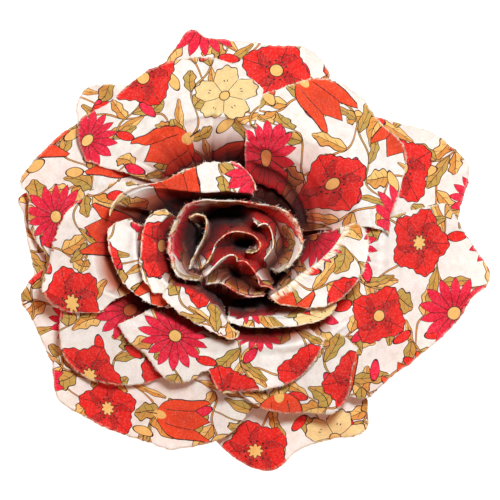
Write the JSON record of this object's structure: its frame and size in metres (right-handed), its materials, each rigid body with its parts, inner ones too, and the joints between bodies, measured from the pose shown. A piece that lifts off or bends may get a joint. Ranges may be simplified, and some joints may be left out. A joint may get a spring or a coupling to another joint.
{
  "type": "flower lapel pin",
  "caption": "Rose of printed cotton petals with raw cut edges, wound round a tight heart and sewn to a felt disc, with a straight steel needle behind it for a lapel.",
  "frame": {"origin": "on the surface that the flower lies on, under the middle of its outline", "axes": "+Z out of the flower's face, +X to the viewer's right and +Y up the picture, seen from the front"},
  "size_m": [0.1092, 0.1026, 0.0361],
  "materials": {
    "print_cotton": null,
    "felt": "dense wool felt, dark red",
    "needle_steel": "bright drawn wire with a ground point"
  },
  "bodies": {
    "root": {"core_collar": "print_cotton", "core_scroll": "print_cotton", "core_heart": "print_cotton", "core_front": "print_cotton", "core_side": "print_cotton", "core_under": "print_cotton", "mid_top": "print_cotton", "mid_left": "print_cotton", "mid_outer": "print_cotton", "mid_corner": "print_cotton", "mid_right": "print_cotton", "mid_lip": "print_cotton", "left_upper": "print_cotton", "left_lower": "print_cotton", "front_lip": "print_cotton", "front_under": "print_cotton", "upper_left": "print_cotton", "upper_right": "print_cotton", "right_big": "print_cotton", "far_left": "print_cotton", "lower_left": "print_cotton", "back_top": "print_cotton", "back_corner": "print_cotton", "back_left": "print_cotton", "back_lower_left": "print_cotton", "back_bottom": "print_cotton", "back_right": "print_cotton", "backing": "felt", "pin": "needle_steel"}
  },
  "joints": []
}
